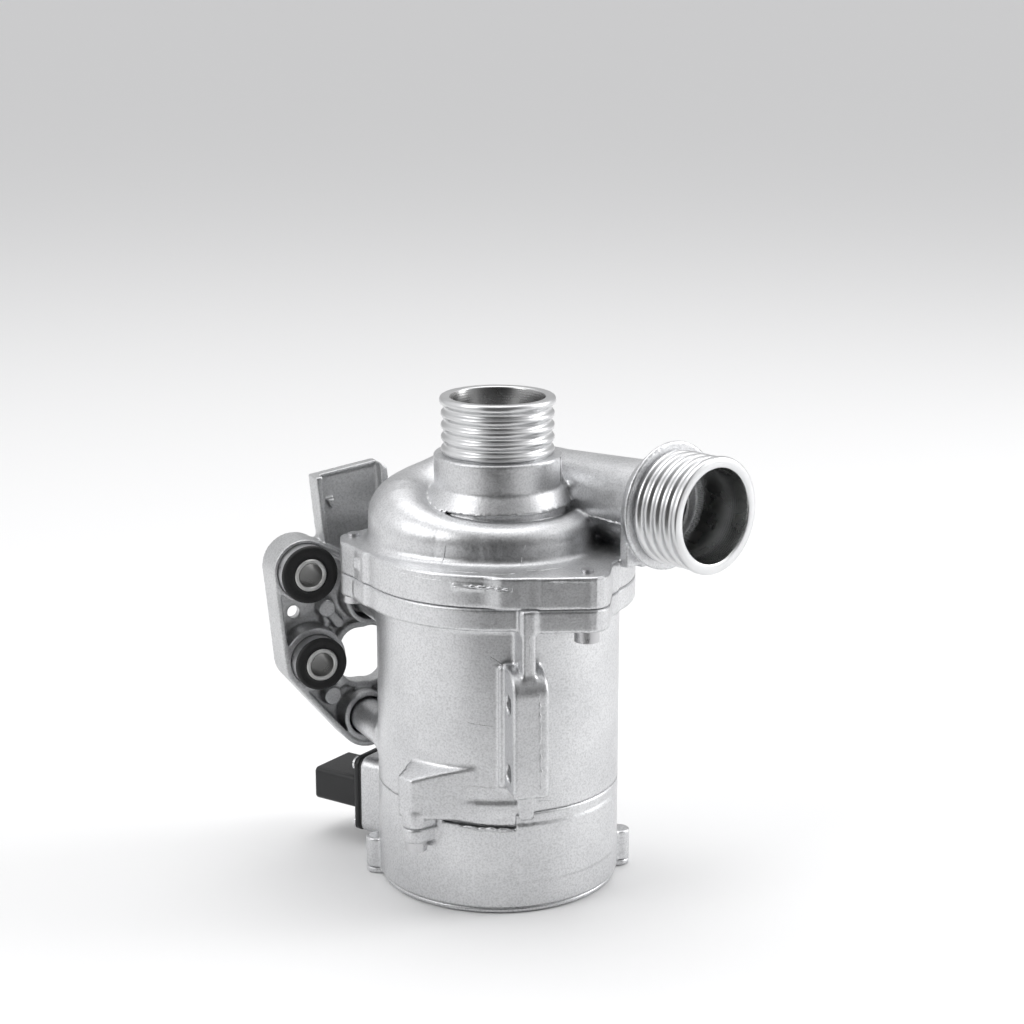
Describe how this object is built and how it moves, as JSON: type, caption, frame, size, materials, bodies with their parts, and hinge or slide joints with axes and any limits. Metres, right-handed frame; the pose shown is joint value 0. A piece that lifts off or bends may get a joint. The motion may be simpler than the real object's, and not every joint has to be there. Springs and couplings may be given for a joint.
{
  "type": "electric coolant pump",
  "caption": "Electric coolant pump with a cast round motor housing, ridged inlet and outlet spigots, a plug socket and a side bracket on rubber bushes.",
  "frame": {"origin": "on the motor axis, at the flat underside of the base cover", "axes": "+Z along the motor axis towards the inlet spigot; -Y the way the bushes' bolt holes face, out of the bracket's front"},
  "size_m": [0.1363, 0.1367, 0.1708],
  "materials": {
    "cast_aluminium": "bead-blasted die casting",
    "cast_dark": "darker, rougher die casting",
    "zinc_steel": "zinc-plated",
    "bright_steel": "ground",
    "electrical_steel": "laminated",
    "magnet": "nickel-plated",
    "copper": "copper",
    "seal_rubber": "smooth",
    "bush_rubber": "matte",
    "black_polymer": "moulded",
    "dark_polymer": "glass-filled",
    "pale_polymer": "moulded",
    "carbon": "carbon graphite",
    "ceramic": "ceramic",
    "board": "solder mask"
  },
  "bodies": {
    "housing": {"volute_cover": "cast_aluminium", "cover_seal": "seal_rubber", "cover_screws": "zinc_steel", "motor_housing": "cast_aluminium", "housing_seal": "seal_rubber", "housing_screws": "zinc_steel", "electronics_housing": "cast_aluminium", "base_cover": "cast_aluminium", "base_seal": "seal_rubber", "base_screws": "zinc_steel", "bearing_carrier": "dark_polymer", "upper_bearing": "carbon", "lower_bearing": "carbon", "containment_can": "dark_polymer", "can_seal": "seal_rubber", "thrust_washer": "ceramic", "stator_core": "electrical_steel", "stator_coils": "copper", "upper_insulator": "pale_polymer", "lower_insulator": "pale_polymer", "phase_terminals": "copper", "circuit_board": "board", "capacitors": "black_polymer", "choke": "copper", "power_module": "black_polymer", "thermal_pad": "pale_polymer", "control_chips": "black_polymer", "connector_body": "black_polymer", "connector_pins": "copper", "connector_seal": "seal_rubber", "connector_screws": "zinc_steel", "bracket": "cast_dark", "bracket_screws": "zinc_steel", "upper_bush_shell": "zinc_steel", "upper_bush_rubber": "bush_rubber", "upper_bush_sleeve": "zinc_steel", "lower_bush_shell": "zinc_steel", "lower_bush_rubber": "bush_rubber", "lower_bush_sleeve": "zinc_steel"},
    "rotor": {"shaft": "bright_steel", "rotor_core": "electrical_steel", "rotor_magnets": "magnet", "rotor_can": "bright_steel", "impeller": "dark_polymer", "impeller_shroud": "dark_polymer", "impeller_nut": "zinc_steel"}
  },
  "joints": [
    {"name": "rotor_spin", "type": "hinge", "parent": "housing", "child": "rotor", "pos_m": [0, 0, 0.08], "axis": [0, 0, 1], "continuous": true}
  ]
}
